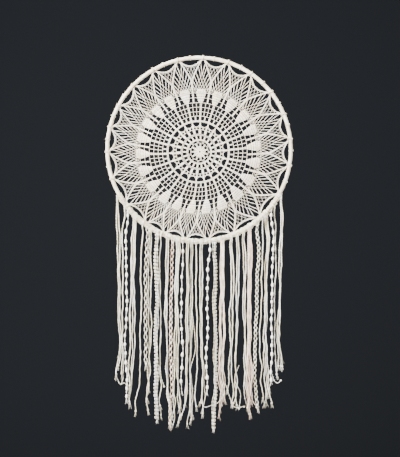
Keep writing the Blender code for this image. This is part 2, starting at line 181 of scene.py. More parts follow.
def cotton(name, light, dark, warm, cool, tints, mottle, fibre, ply, relief, sheen):
    """A matt cotton material made of the shared yarn group."""
    material = bpy.data.materials.new(name)
    material.use_nodes = True
    tree = material.node_tree
    shader = tree.nodes["Principled BSDF"]
    yarn = add_node(tree, "ShaderNodeGroup", (-300, 0),
                    node_tree=bpy.data.node_groups["cotton_yarn"],
                    Light_yarn=(*light, 1.0), Dark_yarn=(*dark, 1.0), Warm_yarn=(*warm, 1.0),
                    Cool_yarn=(*cool, 1.0), Tint_spread=tints, Mottle_size=mottle,
                    Fibre_size=fibre, Ply=ply, Relief=relief)
    for source, target in (("Colour", "Base Color"), ("Roughness", "Roughness"),
                           ("Normal", "Normal")):
        tree.links.new(yarn.outputs[source], shader.inputs[target])
    shader.inputs["Sheen Weight"].default_value = sheen
    shader.inputs["Sheen Roughness"].default_value = 0.5
    shader.inputs["Specular IOR Level"].default_value = 0.25
    return material


def make_materials():
    """A cotton finish for each slot; the streaks of tint run down the strands."""
    make_yarn_group()
    turns, patches, spots, streaks = (45.0,) * 3, (22.0,) * 3, (95.0,) * 3, (170.0, 60.0, 4.0)
    # In each finish the second colour is random mottle and painted shade between the fibres.
    return {
        "wrap": cotton(
            "wrap_cord", (.81, .735, .58), (.54, .465, .35), (.79, .65, .515), (.81, .785, .685),
            turns, 70.0, 1300.0, 260.0, 0.5, 0.25),
        "lace": cotton(
            "lace_yarn", (1.0, .95, .83), (.88, .79, .65), (1.0, .92, .75), (1.0, .98, .91),
            patches, 60.0, 1700.0, 420.0, 0.35, 0.25),
        "cotton": cotton(
            "fringe_cord", (.99, .95, .80), (.47, .43, .32), (.90, .80, .59), (.91, .92, .95),
            streaks, 70.0, 1400.0, 300.0, 0.8, 0.30),
        "knot": cotton(
            "knot_cord", (1.0, .975, .74), (.62, .56, .40), (.97, .84, .66), (1.0, .99, .90),
            spots, 120.0, 1300.0, 300.0, 0.8, 0.25),
        "ribbon": cotton(
            "lace_ribbon", (.95, .79, .66), (.54, .41, .32), (.90, .62, .51), (.97, .87, .74),
            streaks, 90.0, 1500.0, 380.0, 0.4, 0.25),
        "bead": cotton(
            "bobble_yarn", (.99, .96, .90), (.88, .83, .75), (.98, .94, .86), (.98, .98, .98),
            streaks, 120.0, 1500.0, 350.0, 0.3, 0.35),
    }


# ---- Making and copying meshes --------------------------------------------------------------
TINY = 1e-12                  # keeps a step of no length from dividing by zero
GROOVE = 0.62                 # how far out the grooves between a cord's plies are, of its radius


def clear_selection():
    bpy.ops.object.select_all(action="DESELECT")


def mesh_places(mesh):
    """The places of a mesh's corners, as one array."""
    places = np.empty(len(mesh.vertices) * 3)
    mesh.vertices.foreach_get("co", places)
    return places.reshape(-1, 3)


def mesh_parts(obj):
    """A modelled stitch as arrays, its faces in a fixed order; the model is then put away."""
    places = mesh_places(obj.data)
    faces = sorted(tuple(face.vertices) for face in obj.data.polygons)
    bpy.data.objects.remove(obj)
    return places, faces


def new_piece(name, places, faces, material, angle):
    """A mesh object from arrays, shaded smooth but for edges sharper than the angle."""
    mesh = bpy.data.meshes.new(name)
    mesh.from_pydata(np.asarray(places).tolist(), [], faces)
    mesh.materials.append(material)
    obj = bpy.data.objects.new(name, mesh)
    bpy.context.collection.objects.link(obj)
    clear_selection()
    obj.select_set(True)
    bpy.context.view_layer.objects.active = obj
    bpy.ops.object.shade_smooth_by_angle(angle=math.radians(angle))
    return obj


def settle(piece, slot, *nodes):
    """The piece rides on the one body and takes the place of its nodes; slot is not used."""
    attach(piece, "root")
    if nodes:
        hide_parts(*nodes)


def join_parts(parts):
    """Many (places, faces) meshes as one."""
    places, faces, count = [], [], 0
    for part_places, part_faces in parts:
        places.append(part_places)
        faces.extend(tuple(corner + count for corner in face) for face in part_faces)
        count += len(part_places)
    return np.concatenate(places), faces


def copies(base, starts, ends, widths, lifts=0.0, deep=1.0):
    """Copy a base stitch, which is 1 wide and stands from z 0 to 1, from each start to its end."""
    places, faces = base
    starts, ends = np.array(starts, float), np.array(ends, float)
    widths = np.broadcast_to(np.asarray(widths, float), (len(starts),))
    starts[:, 1] -= lifts
    ends[:, 1] -= lifts
    along = ends - starts
    across = np.stack([along[:, 2], np.zeros(len(along)), -along[:, 0]], axis=1)
    across /= np.linalg.norm(across, axis=1)[:, None] + TINY
    moved = (starts[:, None, :] + along[:, None, :] * places[None, :, 2, None]
             + across[:, None, :] * (widths[:, None] * places[None, :, 0])[:, :, None])
    moved[:, :, 1] += widths[:, None] * places[None, :, 1] * deep
    count = len(places)
    all_faces = [tuple(corner + number * count for corner in face)
                 for number in range(len(starts)) for face in faces]
    return moved.reshape(-1, 3), all_faces


def model_twisted_post():
    """A post of twisted yarn: two small rings screwed up round the stitch's middle line."""
    plies, steps, turns, away = 2, 7, 0.9, 0.25
    clear_selection()
    rings = []
    for ply in range(plies):
        turn = 2.0 * math.pi * ply / plies
        bpy.ops.mesh.primitive_circle_add(
            vertices=3, radius=0.27, fill_type="NOTHING",
            location=(away * math.cos(turn), away * math.sin(turn), 0.0), rotation=(0, 0, turn))
        rings.append(bpy.context.object)
    for ring in rings:
        ring.select_set(True)
    post = bpy.context.view_layer.objects.active = rings[0]
    bpy.ops.object.join()
    bpy.ops.object.transform_apply(location=True, rotation=True, scale=True)
    screw = post.modifiers.new("twist", "SCREW")
    screw.axis = "Z"
    screw.angle = turns * 2.0 * math.pi
    screw.screw_offset = 1.0
    screw.steps = screw.render_steps = steps
    bpy.ops.object.modifier_apply(modifier="twist")
    bpy.ops.object.mode_set(mode="EDIT")
    bpy.ops.mesh.select_all(action="SELECT")
    bpy.ops.mesh.fill_holes(sides=0)
    bpy.ops.mesh.normals_make_consistent(inside=False)
    bpy.ops.object.mode_set(mode="OBJECT")
    return mesh_parts(post)


def model_chain_link():
    """One link of crochet chain: a long open loop, rounder at its far end."""
    ring, yarn = 0.5, 0.26
    clear_selection()
    bpy.ops.mesh.primitive_torus_add(major_segments=8, minor_segments=3, major_radius=ring,
                                     minor_radius=yarn, rotation=(math.pi / 2, 0, 0))
    loop = bpy.context.object
    bpy.ops.object.transform_apply(location=True, rotation=True, scale=True)
    for vert in loop.data.vertices:
        along = vert.co.z / (ring + yarn)
        vert.co.x *= 0.61 * (1.0 + 0.25 * along)
        vert.co.y += 0.22 * along
        vert.co.z = 0.5 + along * 0.66
    return mesh_parts(loop)


def model_bobble():
    """A spindle-shaped bobble, fuller in its middle."""
    clear_selection()
    bpy.ops.mesh.primitive_uv_sphere_add(segments=8, ring_count=6, radius=0.5)
    ball = bpy.context.object
    for vert in ball.data.vertices:
        vert.co.z = 0.5 + vert.co.z
    return mesh_parts(ball)


def smooth_line(points, step):
    """A soft line through the points, with a place about every step along it."""
    points = np.asarray(points, float)
    before = np.vstack([2 * points[0] - points[1], points, 2 * points[-1] - points[-2]])
    line = []
    for index in range(1, len(before) - 2):
        a, b, c, d = before[index - 1:index + 3]
        count = max(1, int(round(np.linalg.norm(c - b) / step)))
        t = (np.arange(count) / count)[:, None]
        line.append(0.5 * (2 * b + (c - a) * t + (2 * a - 5 * b + 4 * c - d) * t ** 2
                           + (3 * b - a - 3 * c + d) * t ** 3))
    line.append(points[-1:])
    return np.concatenate(line)


def directions(line, closed=False):
    """Unit direction of a line at each of its places."""
    if closed:
        ways = np.roll(line, -1, axis=0) - np.roll(line, 1, axis=0)
    else:
        ways = np.gradient(line, axis=0)
    return ways / (np.linalg.norm(ways, axis=1)[:, None] + TINY)


def distances(line):
    """How far along a line each of its places is."""
    return np.concatenate([[0.0], np.cumsum(np.linalg.norm(np.diff(line, axis=0), axis=1))])


def lay_cord(line, width, plies, lay, closed=False, start_turn=0.0, taper=1.0):
    """A cord twisted from plies, laid along a line: a lobed section that turns as it goes."""
    line = np.asarray(line, float)
    ways = directions(line, closed)
    reference = np.where(np.abs(ways[:, 1:2]) > 0.9, np.array([[1.0, 0.0, 0.0]]),
                         np.array([[0.0, 1.0, 0.0]]))
    side = np.cross(ways, reference)
    side /= np.linalg.norm(side, axis=1)[:, None]
    deep = np.cross(side, ways)
    travelled = distances(line)
    if closed:
        whole = travelled[-1] + np.linalg.norm(line[0] - line[-1])
        lay = whole / max(1, round(whole / lay))
    turn = start_turn + 2.0 * math.pi * travelled / lay
    corners = plies * 2
    radius = np.full(len(line), width / 2.0) * taper
    rings = []
    for corner in range(corners):
        around = turn + 2.0 * math.pi * corner / corners
        out = radius * (1.0 if corner % 2 == 0 else GROOVE)
        rings.append(line + side * (np.cos(around) * out)[:, None]
                     + deep * (np.sin(around) * out)[:, None])
    places = np.stack(rings, axis=1).reshape(-1, 3)
    faces = []
    for row in range(len(line) if closed else len(line) - 1):
        here, after = row * corners, (row + 1) % len(line) * corners
        for corner in range(corners):
            beside = (corner + 1) % corners
            faces.append((here + corner, after + corner, after + beside, here + beside))
    if not closed:
        last = (len(line) - 1) * corners
        faces.append(tuple(range(corners)))
        faces.append(tuple(last + corner for corner in reversed(range(corners))))
    return places, faces


# ---- Places on the hoop and lace ------------------------------------------------------------
def outward(angle):
    """Unit vectors from the hoop's centre at angles round the hoop."""
    turn = np.radians(angle)
    return np.stack([np.sin(turn), np.zeros_like(turn), np.cos(turn)], axis=-1)


def smooth_step(value):
    value = np.clip(value, 0.0, 1.0)
    return value * value * (3.0 - 2.0 * value)


LACE_SIDE = -0.0019           # the lace's middle lies this far to the left of the hoop's ...
LACE_DROP = 0.005             # ... and this far below it
EYE_SIDE = 0.0034             # the innermost rounds lie this far back to the right ...
EYE_END = 0.062               # ... less and less out to this radius
EVEN_RADIUS = 0.058           # within this radius the lace keeps its even shape ...
PULLED_RADIUS = 0.162         # ... and beyond this one it follows the ties
LACE_TURN = 0.85              # the even part has turned by this much, in degrees
LACE_SKEW = 0.9               # and is skewed by up to this much
SKEW_ANGLE = 110.0            # where the skew is at its greatest
TIES = np.array([TIE_ANGLES[i % SECTORS] + 360.0 * (i // SECTORS)
                 for i in range(-SECTORS, 3 * SECTORS)])


def lace_places(turns, radii):
    """Places on the lace, flat: turns counts sectors clockwise from the first tie.

    The middle of the lace is even. Towards the rim it follows the uneven ties, and its centre
    moves to the hoop's own.
    """
    turns, radii = np.asarray(turns, float), np.asarray(radii, float)
    uneven = np.interp(turns, np.arange(-SECTORS, 3 * SECTORS), TIES)
    even = TIE_ANGLES[0] + turns * SECTOR_ANGLE
    pull = smooth_step((radii - EVEN_RADIUS) / (PULLED_RADIUS - EVEN_RADIUS))
    turned = LACE_TURN + LACE_SKEW * np.cos(2.0 * np.radians(even - SKEW_ANGLE))
    angle = even + turned * (1.0 - pull) + (uneven - even) * pull
    stay = 1.0 - np.minimum(radii / LACE_RADIUS, 1.0) ** 5
    places = HOOP_CENTRE + outward(angle) * radii[..., None]
    places[..., 0] += LACE_SIDE * stay + EYE_SIDE * (1.0 - smooth_step(radii / EYE_END))
    places[..., 2] -= LACE_DROP * stay
    return places


UNEVEN = 0.00012              # how far a stitch's ends stray from their places
POST = 0.0023                 # width of one double crochet
LINK = 0.0024                 # length of ring that one chain link covers
RING_OVERLAP, LINE_OVERLAP = 1.15, 1.12     # how far a link reaches, to lie over the next one
POST_PULL, LINK_PULL = 0.78, 0.84   # how much thinner the stretched posts and links are pulled
POST_DEEP, LINK_DEEP = 1.7, 1.4     # how much deeper than wide they are
MIDDLE_PULL = 0.86            # the lace's middle is pulled thinner once more, by this


class Stitches:
    """A list of stitches to be made, each from one (turn, radius) to another."""

    def __init__(self):
        self.rows = []

    def add(self, start, end, width, lift=0.0):
        self.rows.append((*start, *end, width, lift))

    def meshes(self, base, fine, deep):
        rows = np.array(self.rows)
        chance = np.random.default_rng(len(rows))
        starts, ends = lace_places(rows[:, 0], rows[:, 1]), lace_places(rows[:, 2], rows[:, 3])
        for places in (starts, ends):
            places[:, 0] += chance.normal(0.0, UNEVEN, len(rows))
            places[:, 2] += chance.normal(0.0, UNEVEN, len(rows))
        widths = rows[:, 4] * fine * chance.uniform(0.90, 1.10, len(rows))
        return copies(base, starts, ends, widths, rows[:, 5], deep)


def chain_round(links, radius, width, start=0.0, end=SECTORS, lift=0.0004):
    """A row of chain links round the lace at one radius."""
    length = 2.0 * math.pi * radius * (end - start) / SECTORS
    count = max(1, round(length / LINK))
    for index in range(count):
        turn = start + (end - start) * index / count
        after = turn + (end - start) * RING_OVERLAP / count
        links.add((turn, radius), (after, radius), width, lift)


def chain_line(links, start, end, width, bow=0.0, lift=0.0):
    """A chain from one place to another; bow moves its middle inwards by that radius."""
    a, b = lace_places(*start), lace_places(*end)
    count = max(1, round(float(np.linalg.norm(b - a)) / LINK))
    turns = np.linspace(start[0], end[0], count + 1)
    share = np.linspace(0.0, 1.0, count + 1)
    radii = start[1] + (end[1] - start[1]) * share - bow * 4.0 * share * (1.0 - share)
    for index in range(count):
        dt, dr = turns[index + 1] - turns[index], radii[index + 1] - radii[index]
        links.add((turns[index], radii[index]),
                  (turns[index] + dt * LINE_OVERLAP, radii[index] + dr * LINE_OVERLAP), width, lift)


def post_row(posts, middle, low, high, low_half, high_half, count, width=POST, lift=0.0, crown=0.0):
    """A fan of doubles between two radii, even about a middle turn; crown lifts its middle."""
    for index in range(count):
        share = 2.0 * index / (count - 1) - 1.0
        posts.add((middle + low_half * share, low), (middle + high_half * share, high), width,
                  lift + crown * (1.0 - share ** 2))


# Radii of the lace's rounds from its centre outwards, widths of its chains and half widths of its
# parts in sectors. A row of posts is given by its lower and upper radius, half of its width at
# each, how many posts it has, their width and how far they stand out.
CENTRE_ROUNDS = (0.0022, 0.0120, 0.0188, 0.0238)
CENTRE_SHELLS = 11            # shells round the very middle, each two sectors wide ...
SHELL_TURN = 0.28             # ... turned by this much
CENTRE_POSTS = (              # in each sector, so far from its spine
    (0.72, (0.0268, 0.0347, 0.10, 0.10, 3, 0.0019)),
    (0.575, (0.0386, 0.0474, 0.145, 0.145, 4, 0.0019)),
    (0.575, (0.0400, 0.0462, 0.10, 0.10, 3, 0.0019, 0.0009)),
    (0.05, (0.0480, 0.0532, 0.05, 0.05, 2, 0.0017)),
    (0.55, (0.0480, 0.0532, 0.07, 0.07, 3, 0.0017)),
    (0.590, (0.0532, 0.0636, 0.04, 0.04, 2, 0.0021)),
    (0.590, (0.0532, 0.0572, 0.11, 0.08, 3, 0.0013)),
)
INNER_CHAINS = ((0.0030, .0022), (0.0060, .0022), (0.0095, .0022), (0.0115, .0016),
                (0.0188, .0011), (0.0240, .0013), (0.0252, .0018), (0.0264, .0018))
OUTER_CHAINS = ((0.0354, .0020), (0.0376, .0020), (0.0476, .0017), (0.0530, .0017),
                (0.0646, .0029), (0.0664, .0029))
LENS_LOW, LENS_CURVE = 0.0532, 0.0042     # inner edge of the wide gaps, and its rise at their ends
LENS_AWAY, LENS_HALF, LENS_STEPS, LENS_CHAIN = 0.10, 0.42, 4, 0.0016
GRID_ROUNDS = (0.0763, 0.0856, 0.0951, 0.1047)
GRID_FEET = ((0.04, (0.0674, 0.0760, 0.035, 0.035, 2, 0.0017)),
             (0.535, (0.0674, 0.0760, 0.060, 0.060, 3, 0.0022)))
GRID_SPOKE, SPOKE_HALF, SPOKE_POST = 0.538, 0.042, 0.0026       # the spoke's turn, half and posts
GRID_SINGLES, GRID_POST, GRID_CHAIN = (-0.105, 0.195), 0.0016, 0.0017   # the single posts' turns
FAN_FOOT, FAN_LOW, FAN_MIDDLE, FAN_TOP = 0.1047, 0.1150, 0.1252, 0.1328
FAN_ROWS = ((FAN_FOOT, FAN_LOW, 0.11, 0.20, 6), (FAN_LOW, FAN_MIDDLE, 0.21, 0.262, 9),
            (FAN_MIDDLE, FAN_TOP, 0.262, 0.200, 9))
FAN_EDGES = ((FAN_LOW, 0.21), (FAN_MIDDLE, 0.265), (FAN_TOP, 0.225))
FAN_POST, FAN_CROWN, FAN_CHAIN = 0.0026, 0.0016, 0.0020
FAN_REACH, FAN_RISE = 0.47, 0.0006        # where the chains beside the fans' edges end
SPINE_HALF, SPINE_POST = 0.024, 0.0022
LEAF_ROWS = (0.1328, 0.1383, 0.1440, 0.1502, 0.1571, 0.1645)
LEAF_CELLS = 6                # places in the leaf's first row, and one fewer in each row above
LEAF_HALF = 0.0725            # half of the distance from place to place
LEAF_LEAN = 0.012             # the leaves stand this little to the side of their ties
LEAF_FOOT = FAN_MIDDLE + 0.0008       # radius where the row below the leaf starts
# Chains below the leaf, as distances from its middle: where they start and where they end.
LEAF_FEET = ((0.290, 0.2175), (0.290, 0.3625), (0.435, 0.3625))
# Bars from the leaf's side to the long rib: distance from the leaf's middle and radius, twice.
BARS = ((0.008, 0.1637, 0.097, 0.1867), (0.064, 0.1580, 0.183, 0.1783),
        (0.141, 0.1506, 0.290, 0.1678), (0.224, 0.1435, 0.374, 0.1596),
        (0.299, 0.1376, 0.454, 0.1518), (0.366, 0.1325, 0.464, 0.1408))
BAR_POST = 0.0015
RIB_FOOT, RIB_KNEE, RIB_TOP = (0.026, FAN_TOP), (0.038, 0.1510), (0.452, 0.1915)
RIB_FORK, INNER_TOP = 0.1525, (0.436, 0.1912)       # the inner rib starts at the fork
RIB_BOW, RIB_LIFT = -0.0006, 0.0003
VALLEY_ROWS = (0.1539, 0.1616, 0.1684, 0.1752)
VALLEY_HALF = 0.0740          # half of the distance from place to place in the net there
SCALLOP_HALF = 0.42           # half of a scallop's curve, in sectors
SCALLOP_LOW, SCALLOP_TOP = 0.1807, 0.1914           # radius in its middle and at its ends
SCALLOP_CURVE = 2.1           # the power by which the edge rises towards the ties
SCALLOP_CHAIN = 0.0019
EDGE_END = 0.475              # the edge runs this far to each side, past the curve to the tie
INNER_EDGE, INNER_HALF = 0.0017, 0.44     # the second edge lies this far inwards, and is shorter
UNDER_EDGE = 0.0010           # the net stops this far inside the edge
NET = 0.0011                  # width of the net's chain ...
LEAF_NET = NET + 0.0001       # ... of the leaf's first row ...
FOOT_NET = 0.0010             # ... of the row below it ...
VALLEY_NET = 0.0008           # ... and of the finer net between the ribs
RIB = 0.0022


def stitch_centre(posts, links):
    """The close rounds round the lace's middle, out to the thick ring."""
    foot, first, second, third = CENTRE_ROUNDS
    for index in range(CENTRE_SHELLS):
        turn = index * 2.0 + SHELL_TURN
        post_row(posts, turn, foot, first, 0.45, 0.50, 3, 0.0018)
        post_row(posts, turn, first, second, 0.30, 0.24, 3, 0.0013)
        post_row(posts, turn + 1.0, second, third, 0.18, 0.20, 2, 0.0015)
    for radius, width in INNER_CHAINS:
        chain_round(links, radius, width)
    for index in range(SECTORS):
        spine = index + 0.5
        for turn, row in CENTRE_POSTS:
            post_row(posts, spine + turn, *row)
        for side in (-1.0, 1.0):
            for step in range(LENS_STEPS):
                lens = [(spine + LENS_AWAY + side * LENS_HALF * (step + more) / LENS_STEPS,
                         LENS_LOW + LENS_CURVE * ((step + more) / LENS_STEPS) ** 2)
                        for more in (0, 1)]
                chain_line(links, *lens, LENS_CHAIN)
    for radius, width in OUTER_CHAINS:
        chain_round(links, radius, width)


def stitch_grid(posts, links):
    """Four rounds of open squares between single posts, with a thick spoke under each fan."""
    for index in range(SECTORS):
        spine = index + 0.5
        for turn, row in GRID_FEET:
            post_row(posts, spine + turn, *row)
        for low, high in zip(GRID_ROUNDS, GRID_ROUNDS[1:]):
            for turn in GRID_SINGLES:
                posts.add((spine + turn, low), (spine + turn, high), GRID_POST)
            post_row(posts, spine + GRID_SPOKE, low, high, SPOKE_HALF, SPOKE_HALF, 2, SPOKE_POST)
    for radius in GRID_ROUNDS:
        chain_round(links, radius, GRID_CHAIN)


def stitch_fans(posts, links):
    """The solid fan over each spoke, and the two posts of the spine between fans."""
    for index in range(SECTORS):
        middle, spine = index + LEAF_LEAN, index + 0.5
        for low, high, low_half, high_half, count in FAN_ROWS:
            post_row(posts, middle, low, high, low_half, high_half, count, FAN_POST,
                     crown=FAN_CROWN)
            post_row(posts, spine, low, high, SPINE_HALF, SPINE_HALF, 2, SPINE_POST)
        for radius, half in FAN_EDGES:
            chain_round(links, radius, FAN_CHAIN, middle - half, middle + half, 0.0001)
            for side in (-1.0, 1.0):
                chain_line(links, (middle + side * half, radius),
                           (middle + side * FAN_REACH, radius + FAN_RISE), NET)


def stitch_leaves(posts, links):
    """Above each fan: a net that narrows to a point, and slanting bars out to the long ribs."""
    for index in range(SECTORS):
        middle = index + LEAF_LEAN
        for row, (low, high) in enumerate(zip(LEAF_ROWS, LEAF_ROWS[1:])):
            count = LEAF_CELLS - row
            for place in range(count):
                turn = middle + (place - (count - 1) / 2.0) * 2.0 * LEAF_HALF
                width = NET if row else LEAF_NET
                if place > 0:
                    chain_line(links, (turn, low), (turn - LEAF_HALF, high), width)
                if place < count - 1:
                    chain_line(links, (turn, low), (turn + LEAF_HALF, high), width)
        for away, end in LEAF_FEET:
            for side in (-1.0, 1.0):
                chain_line(links, (middle + side * away, LEAF_FOOT),
                           (middle + side * end, LEAF_ROWS[0]), FOOT_NET)
        for low_away, low, high_away, high in BARS:
            for side in (1.0, -1.0):
                posts.add((middle + side * low_away, low), (middle + side * high_away, high),
                          BAR_POST)


def stitch_ribs(links):
    """The double ribs from each spine to the ties on both sides of it."""
    for index in range(SECTORS):
        spine = index + 0.5
        for side in (-1.0, 1.0):
            foot, knee, top, inner = ((spine + side * away, radius) for away, radius in (
                RIB_FOOT, RIB_KNEE, RIB_TOP, INNER_TOP))
            chain_line(links, foot, knee, RIB)
            chain_line(links, knee, top, RIB, RIB_BOW, RIB_LIFT)
            chain_line(links, (spine, RIB_FORK), inner, RIB, 0.0, RIB_LIFT)
        chain_line(links, (spine, FAN_TOP), (spine, RIB_FORK), RIB)


def scallop_radius(away):
    """Radius of the lace's free edge, at so many sectors away from the middle of a scallop."""
    share = min(abs(away) / SCALLOP_HALF, 1.0)
    return SCALLOP_LOW + (SCALLOP_TOP - SCALLOP_LOW) * share ** SCALLOP_CURVE


def stitch_valleys(links):
    """The net between two ribs, and the double scalloped edge along its top."""
    for index in range(SECTORS):
        spine = index + 0.5
        for row, low in enumerate(VALLEY_ROWS):
            for place in range(row + 2):
                away = (place - (row + 1) / 2.0) * 2.0 * VALLEY_HALF
                for above in (away - VALLEY_HALF, away + VALLEY_HALF):
                    if row + 1 < len(VALLEY_ROWS):
                        high = VALLEY_ROWS[row + 1]
                    else:
                        high = scallop_radius(above) - UNDER_EDGE
                    if high > low:
                        chain_line(links, (spine + away, low), (spine + above, high), VALLEY_NET)
        stops = np.linspace(-EDGE_END, EDGE_END, 13)
        for inwards, lift, last in ((0.0, 0.0003, 1.0), (INNER_EDGE, 0.0, INNER_HALF)):
            for start, end in zip(stops, stops[1:]):
                if max(abs(start), abs(end)) < last:
                    chain_line(links, (spine + start, scallop_radius(start) - inwards),
                               (spine + end, scallop_radius(end) - inwards),
                               SCALLOP_CHAIN, 0.0, lift)


def make_lace(materials):
    """The lace in five pieces: middle with grid, fans, leaves, ribs and rim."""
    post, link = model_twisted_post(), model_chain_link()
    parts = {name: (Stitches(), Stitches()) for name in ("middle", "fans", "leaves", "ribs", "rim")}
    stitch_centre(*parts["middle"])
    stitch_grid(*parts["middle"])
    stitch_fans(*parts["fans"])
    stitch_leaves(parts["fans"][0], parts["leaves"][1])
    stitch_ribs(parts["ribs"][1])
    stitch_valleys(parts["rim"][1])
    for name, (posts, links) in parts.items():
        pull = MIDDLE_PULL if name == "middle" else 1.0
        meshes = [links.meshes(link, LINK_PULL * pull, LINK_DEEP)]
        if posts.rows:
            meshes.append(posts.meshes(post, POST_PULL * pull, POST_DEEP))
        piece = new_piece("lace_" + name, *join_parts(meshes), materials["lace"], 80.0)
        settle(piece, "lace", "lace")


# ---- Hoop, lashings and knots ---------------------------------------------------------------
WRAPS = 372                   # turns of cord round the hoop
WRAP_STEPS, WRAP_SIDES = 4, 12      # faces along each turn, and around the hoop
PLAIN_TUBE = 0.0037           # radius of the plain ring that is shaped into turns
WRAP_FLOOR, WRAP_RISE = 0.0035, 0.0007      # the grooves' radius, and the turns' height above them
WRAP_UNEVEN = 0.00012         # how far single turns stand higher or lower
LASH_PITCH = 0.92             # from turn to turn of a lashing, in widths of its cord
TIE_LASH = (3, 0.0049, 0.0012)      # turns, radius and cord of the lashings that hold the lace ...
SMALL_LASH = (2, 0.0048, 0.0011)    # ... and of those on the free hoop
SMALL_ROOM = 3.0              # degrees kept free of small lashings beside the fringe
# The loop of cord through each point of the lace: degrees from its middle, and radius.
LACING = ((-0.5, 0.1926), (-0.25, 0.1898), (0.25, 0.1898), (0.5, 0.1926))
LACING_FRONT = 0.0012         # the loop through the lace lies this far in front of it
LASH_STEPS = 9                # places along each turn of a lashing
LASH_LAY, KNOT_LAY = 0.004, 0.003   # length of cord in which its plies turn once


def make_hoop(materials):
    """The hoop, close-wound with cord: each turn stands up between two grooves."""
    clear_selection()
    bpy.ops.mesh.primitive_torus_add(
        major_segments=WRAPS * WRAP_STEPS, minor_segments=WRAP_SIDES, major_radius=RING_LINE,
        minor_radius=PLAIN_TUBE, location=HOOP_CENTRE, rotation=(math.pi / 2, 0.0, 0.0))
    hoop = bpy.context.object
    hoop.name = hoop.data.name = "hoop_wrap"
    bpy.ops.object.transform_apply(location=True, rotation=True, scale=True)
    places = mesh_places(hoop.data)
    angle = np.arctan2(places[:, 0], places[:, 2] - HOOP_CENTRE[2])
    line = HOOP_CENTRE + outward(np.degrees(angle)) * RING_LINE
    around = np.arctan2(places[:, 1], np.linalg.norm(places - HOOP_CENTRE, axis=1) - RING_LINE)
    drift = 0.6 * np.sin(angle * 9.0) + 0.4 * np.sin(angle * 23.0 + 1.0)
    turn = (WRAPS * angle - around) / (2.0 * math.pi) + drift
    share = turn - np.floor(turn)
    number = np.floor(turn).astype(int) % WRAPS
    loose = np.random.default_rng(5).uniform(-1.0, 1.0, WRAPS)[number]
    relief = WRAP_RISE * (1.0 - (2.0 * share - 1.0) ** 2) + WRAP_UNEVEN * loose
    out = places - line
    out /= np.linalg.norm(out, axis=1)[:, None]
    places = line + out * (WRAP_FLOOR + relief)[:, None]
    hoop.data.vertices.foreach_set("co", places.ravel())
    hoop.data.materials.append(materials["wrap"])
    bpy.ops.object.shade_smooth_by_angle(angle=math.radians(70))
    settle(hoop, "wrap", "hoop")


def ring_place(angle, around, radius):
    """Places on a tube round the hoop's centre line; around is 0 outside and 90 at the back."""
    out = outward(angle)
    turn = np.radians(around)
    return (HOOP_CENTRE + out * (RING_LINE + radius * np.cos(turn))[..., None]
            + np.array((0.0, 1.0, 0.0)) * (radius * np.sin(turn))[..., None])


def lashing(angle, turns, radius, width, chance):
    """A thin cord wound round the hoop a few times, with its ends tucked in a small knot."""
    count = turns * LASH_STEPS + 1
    around = np.linspace(180.0, 180.0 + 360.0 * turns, count)
    pitch = math.degrees(width * LASH_PITCH / RING_LINE)
    along = angle + np.linspace(-0.5, 0.5, count) * turns * pitch
    coil = lay_cord(ring_place(along, around, np.full(count, radius)), width, 2, LASH_LAY)
    start = chance.uniform(-50.0, -20.0)
    knot = ring_place(angle + np.array([-0.45, 0.1, 0.5, 0.0, -0.35]),
                      start + np.array([0.0, 14.0, 4.0, -12.0, -4.0]), np.full(5, radius + 0.0006))
    return join_parts([coil, lay_cord(smooth_line(knot, 0.0009), width * 1.15, 2, KNOT_LAY)])


def make_lashings(materials):
    """A lashing at each point of the lace, and a smaller one midway on the free hoop."""
    chance = random.Random("lashings")
    parts = []
    for index, angle in enumerate(TIE_ANGLES):
        parts.append(lashing(angle, *TIE_LASH, chance))
        line = np.array([HOOP_CENTRE + outward(angle + turn) * radius for turn, radius in LACING])
        line[:, 1] -= LACING_FRONT
        parts.append(lay_cord(smooth_line(line, 0.0012), TIE_LASH[2], 2, LASH_LAY))
        after = TIE_ANGLES[(index + 1) % SECTORS]
        middle = angle + ((after - angle) % 360.0) * chance.uniform(0.42, 0.58)
        if not FRINGE_START - SMALL_ROOM < middle % 360.0 < FRINGE_END + SMALL_ROOM:
            parts.append(lashing(middle, *SMALL_LASH, chance))
    piece = new_piece("lashings", *join_parts(parts), materials["wrap"], 70.0)
    settle(piece, "wrap", *[f"tie_{number:02d}" for number in range(1, SECTORS + 1)])


# ---- Fringe ---------------------------------------------------------------------------------
KNOT_PITCH = 0.0027           # from loop to loop of a knot, about
KNOT_RADIUS, KNOT_SWELL = 0.0043, 0.0006    # radius of the loops, and what the middle ones add
KNOT_STRAND = 0.0001          # what each strand adds to its knot
LOOP_FILL, LOOP_STEPS, LOOP_LAY = 0.92, 14, 0.018   # a loop's width in its place, steps and lay
LOOP_OUT = 0.09               # share by which a loop stands further off outside the hoop
BAR_RADIUS, BAR_WIDTH, BAR_STEP, BAR_LAY = 0.0058, 0.0025, 0.0016, 0.010
# The bars over the loops: their places round the hoop, in degrees, and which way they bow.
KNOT_BARS = ((-46.0, 1.0), (-80.0, -1.0), (-112.0, 1.0))
ROOT_PITCH = 0.0034           # between strands where they leave the hoop, at most
BEADS = {                     # width of a strand's bobbles, and the pitch between them
    "beads_left_edge": (0.0050, 0.0186),
    "beads_left_inner": (0.0054, 0.0280),
    "beads_right_inner": (0.0054, 0.0210),
    "beads_right_edge": (0.0050, 0.0186),
}
BEAD_CORD, BEAD_LAY = 0.0019, 0.017
BANDS = {"lace_left": 0.0092, "picot_right": 0.0088}        # width of the crocheted bands
BAND_CORDS, BAND_CORD, BAND_LAY = (-0.26, 0.0, 0.26), 0.19, 0.016     # places, width and lay
PICOT_PITCH, PICOT_WIDTH, PICOT_DEEP = 0.0078, 0.0068, 0.4
LOOPS = {                     # step between meetings, cord width and half of the opening
    "chain_left": (0.0165, 0.0022, 0.0030),
    "chain_right": (0.0114, 0.0024, 0.0028),
    "picot_left": (0.0128, 0.0025, 0.0028),
}
CHAIN_STEP, CHAIN_LAY = 0.0019, 0.011
